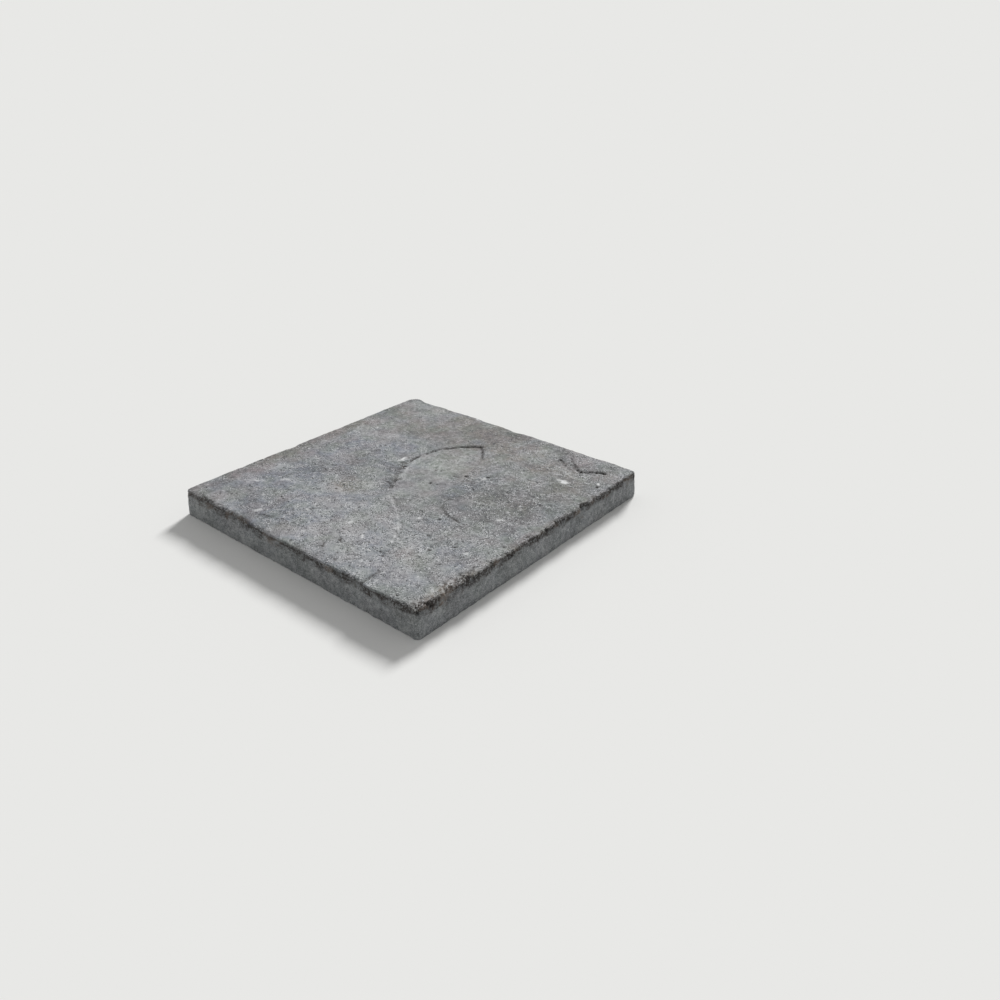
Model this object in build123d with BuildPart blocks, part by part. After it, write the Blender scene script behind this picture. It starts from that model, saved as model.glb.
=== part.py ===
from build123d import *
import os
from math import cos, pi, radians, sin

# A cast concrete paving slab with a riven face, lying bed down, in millimetres.
# The origin is in the middle of the bed, and X and Y run along the sides.

# Cast body: the mould walls lean in towards the face.
slab_length = 450.0
slab_width = 450.0
face_height = 38.0
mould_draft = 3.0
corner_radius = 7.0
arris_radius = 2.5

# Swell of the face about its mean height: one long wave along each side.
swell_rise = 0.4
swell_pitch_x = 390.0
swell_pitch_y = 520.0
swell_crest_x = -140.0
swell_crest_y = -190.0
section_count = 7

# Leaf-shaped flake beside the middle of the face. Its bed is sunk at the tip
# and leans, so that it comes up to the face towards the foot.
flake_tip_x = -5.0
flake_tip_y = 149.0
flake_length = 195.0
flake_left_bulge = 46.0
flake_right_bulge = 60.0
flake_tip_depth = 2.0
flake_run_out = 98.0
flake_lean = 25.0

# Greatest depth of each scale that split off the face.
flank_depth = 2.0
foot_depth = 1.6
shelf_depth = 1.5
far_corner_depth = 2.1
far_step_depth = 1.8
near_lip_depth = 1.1
near_notch_depth = 1.2

# Places of the scales by a side, measured in from that side.
far_corner_from_right = 65.0
far_corner_from_far = 49.0
near_lip_from_near = 25.0
near_notch_from_right = 92.0

# Distance from a scale's rim to its deepest point, and the length by which the
# rim's drawn ends pass the place where the scale feathers out.
dish_set_in = 3.0
rim_tail = 5.0

# Room by which cutters pass the surfaces that they cut.
overrun = 20.0


def face_level(x, y):
    """Height of the swelling face above the bed."""
    wave_x = cos(2 * pi * (x - swell_crest_x) / swell_pitch_x)
    wave_y = cos(2 * pi * (y - swell_crest_y) / swell_pitch_y)
    return face_height + swell_rise * (wave_x + wave_y)


def spaced(span, count):
    """Even places from one end of a centred span to the other."""
    return [span * (step / (count - 1) - 0.5) for step in range(count)]


def flank_points(shape, bulge):
    """Points down a flank of the flake, from shares of its length and its bulge."""
    return [
        (flake_tip_x + out * bulge, flake_tip_y - along * flake_length)
        for along, out in shape
    ]


def split_scale(rim, away, depth):
    """The thin scale that split off on one side of a rim.

    Its underside is a shallow dish, deepest beside the middle point of the
    rim, and it feathers out along the rim and in the direction away.
    """
    first = Vector(*rim[0])
    last = Vector(*rim[-1])
    heading = Vector(cos(radians(away)), sin(radians(away)))
    middle = Vector(*rim[len(rim) // 2]) + heading * dish_set_in
    reach = min((first - middle).length, (last - middle).length) - rim_tail
    ball = (reach**2 + depth**2) / (2 * depth)
    floor = face_level(middle.X, middle.Y) - depth
    with BuildPart() as scale:
        with BuildSketch(Plane.XY.offset(floor - overrun)):
            with BuildLine():
                Spline(*rim)
                ThreePointArc(last, middle + heading * (reach + overrun), first)
            make_face()
        extrude(amount=3 * overrun)
        with Locations((middle.X, middle.Y, floor + ball)):
            Sphere(ball, rotation=(90, 0, 0), mode=Mode.INTERSECT)
    return scale.part


# Outline of the flake in plan: down the left flank, and back up the right one.
# Each shape gives shares of the length from the tip, and of the flank's bulge.
foot_x = flake_tip_x
foot_y = flake_tip_y - flake_length
left_shape = [(0.11, 0.48), (0.28, 0.9), (0.46, 1), (0.7, 0.76), (0.88, 0.32)]
right_shape = [(0.95, 0.58), (0.87, 0.9), (0.7, 1), (0.48, 0.87), (0.15, 0.42)]
left_points = flank_points(left_shape, -flake_left_bulge)
right_points = flank_points(right_shape, flake_right_bulge)
with BuildLine() as flake_outline:
    left_flank = Spline((flake_tip_x, flake_tip_y), *left_points, (foot_x, foot_y))
    Spline(left_flank @ 1, *right_points, left_flank @ 0)

# Bed of the flake: from its depth at the tip up to the face over the run-out.
flake_slope = flake_tip_depth / flake_run_out
slope_x = -flake_slope * sin(radians(flake_lean))
slope_y = -flake_slope * cos(radians(flake_lean))
tip_floor = face_level(flake_tip_x, flake_tip_y) - flake_tip_depth
flake_bed = Plane(origin=(flake_tip_x, flake_tip_y, tip_floor), z_dir=(-slope_x, -slope_y, 1))

with BuildPart() as flake:
    with BuildSketch(Plane.XY.offset(face_height - overrun)):
        add(flake_outline.line)
        make_face()
    extrude(amount=2 * overrun)
    split(bisect_by=flake_bed, keep=Keep.TOP)

# Rims of the other scales in plan. The first runs down the flake's left flank
# to its foot, where the flake stands above the dish beside it.
flank_rim = [left_flank @ share for share in (0.58, 0.69, 0.8, 0.9, 1.0)]
foot_rim = [
    (foot_x + 9, foot_y - 6),
    (foot_x + 26, foot_y - 16),
    (foot_x + 61, foot_y - 42),
    (foot_x + 93, foot_y - 80),
    (foot_x + 111, foot_y - 107),
]
shelf_rim = [(70, -12), (83, -33), (104, -43), (120, -45), (140, -52)]

corner_x = slab_length / 2 - far_corner_from_right
corner_y = slab_width / 2 - far_corner_from_far
far_corner_rim = [
    (corner_x - 38, corner_y + 26),
    (corner_x - 15, corner_y + 7),
    (corner_x, corner_y),
    (corner_x + 12, corner_y + 9),
    (corner_x + 37, corner_y + 19),
]
far_step_rim = [
    (corner_x - 51, corner_y + 39),
    (corner_x - 48, corner_y + 14),
    (corner_x - 22, corner_y - 4),
]

lip_y = near_lip_from_near - slab_width / 2
near_lip_rim = [(-98, lip_y + 7), (-89, lip_y + 1), (-78, lip_y), (-62, lip_y + 8), (-45, lip_y + 11)]

notch_x = slab_length / 2 - near_notch_from_right
near_notch_rim = [(notch_x, lip_y + 6), (notch_x + 1, lip_y - 18), (notch_x + 3, lip_y - 42)]

scales = [
    flake.part,
    split_scale(flank_rim, 200, flank_depth),
    split_scale(foot_rim, 40, foot_depth),
    split_scale(shelf_rim, -80, shelf_depth),
    split_scale(far_corner_rim, -90, far_corner_depth),
    split_scale(far_step_rim, -60, far_step_depth),
    split_scale(near_lip_rim, -80, near_lip_depth),
    split_scale(near_notch_rim, 0, near_notch_depth),
]

with BuildPart() as slab:
    # Riven sheet: lofted through cross sections, and larger than the slab.
    sheet_length = slab_length + 2 * overrun
    for place in spaced(slab_width + 2 * overrun, section_count):
        levels = [(x, face_level(x, place)) for x in spaced(sheet_length, section_count)]
        with BuildSketch(Plane.XZ.offset(-place)):
            with BuildLine():
                crest = Spline(*levels)
                Polyline(
                    crest @ 1,
                    (sheet_length / 2, -overrun),
                    (-sheet_length / 2, -overrun),
                    crest @ 0,
                )
            make_face()
    loft()

    # Mould: the sheet keeps what lies inside the leaning walls, above the bed.
    with BuildSketch():
        RectangleRounded(slab_length, slab_width, corner_radius)
    extrude(amount=face_height + overrun, taper=mould_draft, mode=Mode.INTERSECT)

    # Worn arris round the face.
    fillet(slab.faces().sort_by(Axis.Z)[-1].edges(), radius=arris_radius)

    # Riven relief.
    for scale in scales:
        add(scale, mode=Mode.SUBTRACT)

slab.part.label = "paving_slab"
os.makedirs("parts", exist_ok=True)
export_step(slab.part, "parts/paving_slab.step")
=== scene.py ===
"""Looks of a cast concrete paving slab with a riven face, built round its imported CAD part."""

import math
import random
from types import SimpleNamespace

import bmesh
import bpy
import numpy as np
from bpy.props import FloatProperty, FloatVectorProperty, IntProperty, PointerProperty
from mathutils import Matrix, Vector, noise


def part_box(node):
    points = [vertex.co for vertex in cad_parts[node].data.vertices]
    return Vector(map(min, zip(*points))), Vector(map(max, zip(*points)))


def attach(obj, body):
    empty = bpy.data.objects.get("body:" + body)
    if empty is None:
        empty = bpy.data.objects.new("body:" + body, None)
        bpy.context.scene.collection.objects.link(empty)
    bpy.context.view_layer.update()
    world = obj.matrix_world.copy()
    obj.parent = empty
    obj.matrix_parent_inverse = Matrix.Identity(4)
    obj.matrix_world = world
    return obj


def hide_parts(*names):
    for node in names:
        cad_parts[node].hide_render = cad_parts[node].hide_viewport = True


bl_info = {
    "name": "Riven Paving Slab",
    "version": (1, 0, 0),
    "blender": (4, 5, 0),
    "location": "3D View > Sidebar > Paving",
    "description": "Casts a riven concrete paving slab and sets it in a plain studio",
    "category": "Object",
}

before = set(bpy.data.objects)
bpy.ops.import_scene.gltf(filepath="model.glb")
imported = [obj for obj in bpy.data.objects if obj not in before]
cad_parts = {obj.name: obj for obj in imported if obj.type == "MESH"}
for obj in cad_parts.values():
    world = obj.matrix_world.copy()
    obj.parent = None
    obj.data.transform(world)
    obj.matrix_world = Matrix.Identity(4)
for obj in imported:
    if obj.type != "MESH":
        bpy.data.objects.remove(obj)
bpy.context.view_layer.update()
SLAB_LOW, SLAB_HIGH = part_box("paving_slab")

# Relief and patterns are worked out in millimetres, and meshes are in metres.
MM = 0.001

# Width of the camera's sensor in millimetres, and the nearest and farthest that it sees in metres.
SENSOR_WIDTH = 36.0
CAMERA_CLIP = (0.01, 100.0)


def linear(hex_colour):
    """An sRGB hex colour as linear red, green and blue."""
    values = []
    for start in (1, 3, 5):
        value = int(hex_colour[start : start + 2], 16) / 255
        values.append(value / 12.92 if value <= 0.04045 else ((value + 0.055) / 1.055) ** 2.4)
    return values


class SlabShape(bpy.types.PropertyGroup):
    """Sizes of the cast body, and how finely it is meshed."""

    length: FloatProperty(
        name="Length", description="Side along X at the bed", unit="LENGTH",
        default=SLAB_HIGH.x - SLAB_LOW.x,
    )
    width: FloatProperty(
        name="Width", description="Side along Y at the bed", unit="LENGTH",
        default=SLAB_HIGH.y - SLAB_LOW.y,
    )
    top: FloatProperty(
        name="Top", description="Highest point of the riven face above the bed", unit="LENGTH",
        default=SLAB_HIGH.z,
    )
    face_height: FloatProperty(
        name="Face height", description="Mean level of the riven face", unit="LENGTH", default=0.038,
    )
    mould_draft: FloatProperty(
        name="Mould draft", description="Lean of the sides towards the face", subtype="ANGLE",
        default=math.radians(3.0),
    )
    corner_radius: FloatProperty(
        name="Corner radius", description="Rounding of the upright corners", unit="LENGTH", default=0.006,
    )
    face_rows: IntProperty(
        name="Face rows", description="Mesh rows along each side of the face", default=272, min=4,
    )
    side_rows: IntProperty(
        name="Side rows", description="Mesh rows down the sides", default=18, min=1,
    )


class RivenRelief(bpy.types.PropertyGroup):
    """Heights of the riven face's relief. Rolls, clumps and grit are given as their mean swing."""

    swell_rise: FloatProperty(
        name="Swell", description="Rise of the long waves of the face", unit="LENGTH", default=0.0003,
    )
    headroom: FloatProperty(
        name="Headroom", description="Drop of the mean face, so that no relief passes the solid's top",
        unit="LENGTH", default=0.0005,
    )
    flake_depth: FloatProperty(
        name="Flake depth", description="Sinking of the leaf-shaped flake at its tip", unit="LENGTH",
        default=0.0020,
    )
    roll: FloatProperty(
        name="Rolls", description="Soft rolls of the cleft face, a palm wide", unit="LENGTH",
        default=0.00026,
    )
    ripple: FloatProperty(
        name="Ripples", description="Ripples of the cleft face, a thumb wide", unit="LENGTH",
        default=0.00014,
    )
    clump: FloatProperty(
        name="Clumps", description="Clumps of grit, about 8 mm wide", unit="LENGTH", default=0.00011,
    )
    grit: FloatProperty(
        name="Grit", description="Single stones, about 4 mm wide", unit="LENGTH", default=0.00007,
    )
    arris_radius: FloatProperty(
        name="Arris", description="Rounding of the worn edge round the face", unit="LENGTH", default=0.0011,
    )
    ragged: FloatProperty(
        name="Ragged arris", description="Bites out of the crumbled right arris", unit="LENGTH",
        default=0.0022,
    )
    pits: IntProperty(
        name="Pits", description="Number of open pits scattered over the face", default=220, min=0,
    )
    ledges: IntProperty(
        name="Ledges", description="Number of short ledges left by thin skins", default=110, min=0,
    )
    ledge_depth: FloatProperty(
        name="Ledge depth", description="Greatest drop beside a short ledge", unit="LENGTH",
        default=0.00045,
    )
    blow_holes: IntProperty(
        name="Blow-holes", description="Number of air bubbles open on the cast sides", default=70, min=0,
    )
    foot_wear: FloatProperty(
        name="Foot wear", description="Wear of the edge round the bed", unit="LENGTH", default=0.0009,
    )
    seed: IntProperty(name="Seed", description="Start of the random pits, ledges and blow-holes", default=7)


class ConcreteFinish(bpy.types.PropertyGroup):
    """Colours and surface of the weathered concrete."""

    paste: FloatVectorProperty(
        name="Cement paste", description="Weathered cement paste", subtype="COLOR", size=3,
        default=linear("#86898A"),
    )
    # Also the colour of the painted highlights on the lips.
    pale: FloatVectorProperty(
        name="Pale grain", description="Bare quartz grains and lime bloom", subtype="COLOR", size=3,
        default=linear("#C5C6C7"),
    )
    dark: FloatVectorProperty(
        name="Dark grain", description="Dark aggregate and open pores", subtype="COLOR", size=3,
        default=linear("#4A4C4E"),
    )
    brown: FloatVectorProperty(
        name="Brown stain", description="Soil washed over the face", subtype="COLOR", size=3,
        default=linear("#86807A"),
    )
    lilac: FloatVectorProperty(
        name="Lilac tint", description="Bluish grey tint of the thicker paste", subtype="COLOR", size=3,
        default=linear("#80848D"),
    )
    moss: FloatVectorProperty(
        name="Algae tint", description="Faint green of dry algae", subtype="COLOR", size=3,
        default=linear("#80877F"),
    )
    rose: FloatVectorProperty(
        name="Rose tint", description="Faint pink of clay in the paste", subtype="COLOR", size=3,
        default=linear("#8C8587"),
    )
    # This dark colour is also painted as shade in the pores and hollows, and as the joint's shadow along the
    # arris.
    soil: FloatVectorProperty(
        name="Soil", description="Damp soil caught in hollows and on the arris", subtype="COLOR", size=3,
        default=linear("#3B3734"),
    )
    sand: FloatVectorProperty(
        name="Sand", description="Jointing sand stuck to the sides", subtype="COLOR", size=3,
        default=linear("#776C63"),
    )
    chip: FloatVectorProperty(
        name="Chip", description="White quartz chips", subtype="COLOR", size=3, default=linear("#D9DADA"),
    )
    roughness: FloatProperty(
        name="Roughness", description="Roughness of open concrete", subtype="FACTOR", default=0.92,
        min=0.0, max=1.0,
    )


class StudioStage(bpy.types.PropertyGroup):
    """Camera, light and floor."""

    camera_place: FloatVectorProperty(
        name="Camera", description="Place of the camera", subtype="TRANSLATION", unit="LENGTH", size=3,
        default=(0.7839, -0.7544, 0.5912),
    )
    look_at: FloatVectorProperty(
        name="Look at", description="Point that the camera looks at", subtype="TRANSLATION",
        unit="LENGTH", size=3, default=(0.1284, 0.0313, 0.038),
    )
    lens: FloatProperty(
        name="Lens", description="Focal length on a 36 mm sensor", unit="CAMERA", default=31.19,
    )
    floor_reach: FloatProperty(
        name="Floor reach", description="Half the side of the square floor", unit="LENGTH",
        default=30.0,
    )
    floor_colour: FloatVectorProperty(
        name="Floor", description="Pale floor and backdrop", subtype="COLOR", size=3,
        default=linear("#E8E8E6"),
    )
    key_heading: FloatProperty(
        name="Key heading", description="Compass angle of the key light from +X", subtype="ANGLE",
        default=math.radians(107.0),
    )
    key_height: FloatProperty(
        name="Key height", description="Angle of the key light above the floor", subtype="ANGLE",
        default=math.radians(32.0),
    )
    key_spread: FloatProperty(
        name="Key spread", description="Apparent width of the key light", subtype="ANGLE",
        default=math.radians(14.0),
    )
    key_share: FloatProperty(
        name="Key share", description="Part of the light on the floor that the key light gives",
        subtype="FACTOR", default=0.6, min=0.0, max=1.0,
    )


# Places on the face, here and below, in millimetres from the middle of the slab. The
# flake is a leaf with its tip towards +Y, and its bed leans up to the face over the
# run-out.
FLAKE_TIP = (-3, 145)
FLAKE_FOOT = (-4, -46)
FLAKE_LEFT = [(-8, 140), (-17, 133), (-27, 125), (-30, 119), (-34, 114), (-40, 105), (-47, 94), (-50, 79),
              (-52, 61), (-51, 45), (-47, 28), (-40, 12), (-27, -11), (-15, -28)]
FLAKE_RIGHT = [(12, -49), (28, -40), (48, -23), (55, 3), (55, 30), (47, 56), (39, 77), (34, 94), (28, 108),
               (22, 118), (13, 129), (4, 139)]
FLAKE_LEAN = math.radians(25)
FLAKE_RUN_OUT = 98.0

# Places along Y between which the soil and the painted shade under the flake's right rim begin.
FLAKE_SOIL_AND_SHADE_ENDS = (108, 122)

# Scales that split off the face: rim, heading in degrees towards which the face
# drops from it, depth in the middle, and width of the broken wall. Each is deepest at
# the set-in distance from the middle of its rim.
SCALES = {
    "flank": ([(-54, 60), (-50, 36), (-40, 12), (-27, -11), (-15, -28), (-6, -41), (2, -52)],
              200, 2.4, 9.0),
    "foot": ([(4, -50), (21, -62), (40, -73), (56, -88), (72, -102), (88, -126), (106, -153)],
             40, 1.9, 6.0),
    "shelf": ([(79, 7), (74, -4), (72, -15), (76, -25), (84, -33), (95, -40), (104, -43), (114, -44),
               (126, -47)], -80, 1.5, 2.5),
    "corner": ([(110, 214), (122, 202), (133, 192), (145, 183), (152, 177), (157, 174), (161, 173),
                (165, 175), (170, 179), (177, 182), (182, 185), (188, 189), (197, 192)], -90, 2.1, 2.5),
    "step": ([(109, 222), (110, 209), (110, 198), (112, 190), (119, 184), (129, 178), (138, 172)],
             -60, 1.7, 3.0),
    "lip": ([(-96, -196), (-91, -198), (-84, -198), (-79, -196), (-71, -191), (-62, -188), (-46, -187)],
            -80, 0.9, 2.5),
    "notch": ([(133, -186), (134, -202), (136, -224)], 0, 1.1, 2.5),
    "streak": ([(-98, -58), (-90, -63), (-78, -69), (-70, -71)], 30, 0.7, 3.0),
}
DISH_SET_IN = 3.0

# Narrow grooves: line, width, depth, and how much soil and painted shadow sits there.
GROOVES = [
    ([(-5, 143), (-8, 140), (-17, 133)], 6.4, 0.6, 0.55),
    ([(-17, 133), (-22, 129), (-27, 125)], 7.0, 0.8, 0.75),
    ([(-27, 125), (-30, 119), (-34, 114)], 5.0, 0.6, 0.4),
    ([(-34, 114), (-37, 109), (-40, 105)], 6.2, 0.9, 0.85),
    ([(-40, 105), (-44, 99), (-46, 94)], 4.4, 0.6, 0.35),
    ([(-47, 92), (-49, 84), (-50, 79)], 5.8, 1.1, 1.2),
    ([(-50, 76), (-51, 72)], 6.0, 1.3, 1.6),
    ([(-51, 72), (-52, 62)], 5.0, 0.8, 0.8),
    ([(-52, 60), (-52, 50), (-51, 42)], 6.0, 1.4, 1.6),
    ([(-3, 144), (4, 139), (13, 129), (22, 118)], 4.4, 1.0, 0.95),
    ([(81, 7), (76, -1), (73, -8), (72, -16), (76, -25), (84, -33), (93, -39)], 3.4, 0.4, 0.55),
    ([(95, -40), (104, -43), (114, -44), (126, -48)], 5.0, 1.1, 1.0),
    ([(124, 200), (129, 196), (134, 191), (145, 183), (152, 177)], 3.8, 0.8, 1.15),
    ([(152, 177), (156, 173), (160, 172), (163, 173)], 4.0, 0.8, 1.1),
    ([(163, 173), (169, 177), (176, 181)], 4.4, 0.2, 0.2),
    ([(180, 183), (185, 186), (193, 189)], 4.4, 1.1, 1.2),
    ([(193, 189), (203, 193)], 2.4, 0.3, 0.5),
    ([(112, 192), (117, 186), (123, 182), (128, 179)], 3.8, 0.8, 1.25),
    ([(131, 181), (132, 177), (134, 172)], 3.8, 0.9, 1.1),
    ([(-92, -199), (-84, -199), (-78, -197), (-70, -191)], 2.2, 0.2, 0.4),
    ([(-58, -189), (-50, -187), (-44, -189)], 2.6, 0.5, 0.8),
    ([(134, -224), (132, -208), (132, -192)], 5.4, 0.8, 1.0),
    ([(27, 47), (34, 46), (41, 47)], 3.8, 0.6, 1.3),
    ([(51, 41), (59, 48)], 3.6, 0.6, 1.3),
    ([(52, 42), (58, 33)], 3.2, 0.4, 0.8),
    ([(-5, 48), (1, 40)], 3.6, 0.5, 0.9),
    ([(-118, -134), (-108, -131)], 3.4, 0.5, 0.9),
    ([(-126, -59), (-115, -51)], 3.4, 0.5, 0.8),
    ([(64, -206), (72, -208)], 3.2, 0.4, 0.9),
    ([(37, -169), (40, -174), (44, -176), (49, -177), (54, -177)], 3.8, 0.7, 1.35),
    ([(27, -189), (31, -191), (34, -194), (37, -198)], 3.4, 0.8, 1.3),
]

# Lines where a lip of fresh paste catches the light, painted pale as a highlight: line and width.
LIP_HIGHLIGHT_LINES = [
    ([(-44, 58), (-43, 42), (-36, 20), (-26, 0)], 8.0),
    ([(-20, -14), (-12, -27), (-5, -38)], 6.0),
    ([(3, -56), (14, -61), (24, -67), (40, -76), (59, -90), (72, -102), (80, -112), (94, -136)], 6.0),
    ([(120, 168), (140, 160), (162, 151), (188, 147)], 6.0),
    ([(-97, -60), (-88, -65), (-78, -69)], 4.0),
    ([(-72, -204), (-56, -196), (-42, -196)], 5.0),
    ([(146, -222), (141, -206)], 7.0),
    ([(-52, -193), (-46, -194)], 4.0),
]

# Line of the far, the near and the right arris: place along it, and how far it is set back.
FAR_LINE = [(-225, 0.2), (-208, 1.6), (-195, 3.8), (-178, 5.4), (-165, 5.2), (-150, 3.0), (-135, 4.0),
            (-120, 3.0), (-105, 0.8), (-88, 0.6), (-75, 0.0), (-60, 3.2), (-45, 2.4), (-30, 0.8), (-15, 1.2),
            (0, 4.0), (15, 2.2), (30, 0.0), (90, 0.0), (180, 0.0), (195, 0.4), (225, 0.4)]
NEAR_LINE = [(-225, 1.2), (-210, 1.4), (-195, 1.8), (-182, 3.0), (-165, 2.6), (-150, 2.2), (-90, 2.3),
             (-60, 1.6), (-30, 1.3), (60, 1.4), (90, 1.1), (105, 1.7), (128, 1.7), (137, 0.4), (150, 0.0),
             (165, 0.7), (180, 1.4), (225, 1.3)]
RIGHT_LINE = [(-225, 3.2), (-205, 3.4), (-191, 0.8), (-172, 3.2), (-156, 1.2), (-140, 3.2), (-128, 1.0),
              (-118, 0.1), (-100, 0.8), (-92, 1.2), (-80, 0.4), (-60, 0.3), (-41, 1.8), (-29, 0.2),
              (-20, 1.6), (-9, 0.3), (20, 0.2), (40, 0.8), (60, 0.4), (83, 0.8), (92, 3.4), (101, 0.6),
              (122, 0.6), (140, 0.2), (183, 0.3), (193, 1.2), (204, 0.2), (225, 0.4)]

# Places where the arris has crumbled: place, reach and depth of the bite.
CRUMBLES = [
    ((222, 193), 5, 1.6),
    ((223, 122), 6, 1.8),
    ((221, 92), 8, 4.6),
    ((224, 45), 6, 1.8),
    ((223, -20), 7, 2.4),
    ((223, -40), 6, 2.2),
    ((222, -93), 9, 3.4),
    ((224, -143), 7, 2.8),
    ((221, -166), 9, 4.0),
    ((222, -190), 6, 2.2),
    ((222, -213), 8, 4.2),
    ((-219, 219), 9, 2.0),
    ((-223, -40), 10, 1.2),
]

# Pits that stand out on the face: place and radius.
DEEP_PITS = [
    ((21, 8), 3.2),
    ((46, 57), 4.0),
    ((46, -37), 2.0),
    ((123, 55), 2.2),
    ((137, 59), 2.0),
    ((133, 16), 2.2),
    ((147, 14), 2.2),
    ((178, 55), 3.0),
    ((207, 147), 2.8),
    ((75, -10), 2.4),
    ((100, -57), 2.6),
    ((118, -96), 3.0),
    ((29, -77), 2.0),
    ((-3, -103), 2.2),
    ((144, -121), 2.8),
    ((163, -97), 2.2),
    ((165, -115), 2.0),
    ((175, -136), 2.4),
    ((203, -81), 2.6),
    ((209, -58), 2.0),
    ((211, -116), 2.2),
    ((101, -162), 2.6),
    ((92, -162), 2.2),
    ((110, -167), 2.4),
    ((107, -184), 1.8),
    ((85, -185), 2.0),
    ((112, 207), 2.4),
    ((-2, -168), 2.2),
    ((-3, -198), 2.2),
    ((-48, -136), 2.4),
    ((-124, -178), 2.2),
    ((-102, -117), 1.8),
    ((-123, -103), 2.2),
    ((-178, -198), 2.2),
    ((-108, -195), 2.2),
    ((-124, -58), 2.2),
    ((-90, 132), 2.2),
    ((-78, 77), 1.8),
    ((-22, -16), 2.8),
    ((-15, -31), 2.6),
    ((-44, 20), 3.2),
    ((-52, 50), 2.6),
    ((-52, 57), 2.4),
    ((-49, 75), 2.6),
    ((-47, 89), 2.2),
    ((6, 46), 2.0),
    ((72, 72), 3.6),
    ((80, 32), 2.2),
    ((183, -214), 2.2),
]

# Pale chips pressed into the face: place, half length, half width, turn and whiteness.
PALE_CHIPS = [
    ((-63, 37), 7.8, 4.6, 92, 1.0),
    ((164, 130), 8.0, 6.5, 25, 1.0),
    ((155, 131), 8.0, 4.4, 15, 0.55),
    ((204, 154), 4.0, 3.4, 0, 1.0),
    ((-98, -194), 7.8, 3.6, 75, 0.6),
    ((19, -139), 6.5, 5.0, 60, 0.7),
    ((58, -152), 6.0, 2.0, 127, 0.85),
    ((94, -136), 4.2, 2.2, 145, 0.7),
    ((77, -70), 3.0, 2.6, 0, 0.8),
    ((74, -106), 6.0, 2.2, 135, 0.6),
    ((-142, -115), 7.0, 3.6, 50, 0.45),
    ((-177, 93), 4.6, 2.0, -40, 0.5),
    ((-78, 221), 5.0, 2.2, -50, 0.9),
    ((-161, -42), 3.4, 2.4, 60, 0.6),
    ((-170, -143), 3.4, 2.4, 60, 0.6),
    ((-160, 46), 3.2, 2.0, 60, 0.5),
    ((-51, -150), 3.0, 2.4, 60, 0.5),
    ((164, -11), 6.0, 2.4, 50, 0.7),
    ((158, 12), 3.0, 2.2, 50, 0.6),
    ((184, -99), 4.6, 2.6, 120, 0.5),
    ((168, -131), 3.2, 2.4, 60, 0.5),
    ((123, -134), 3.0, 2.4, 60, 0.5),
    ((71, 65), 4.6, 3.0, 100, 0.6),
    ((49, 120), 4.0, 2.4, 40, 0.4),
    ((178, -174), 8.0, 5.0, 130, 0.2),
    ((207, -183), 7.0, 3.2, 135, 0.45),
]

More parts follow.
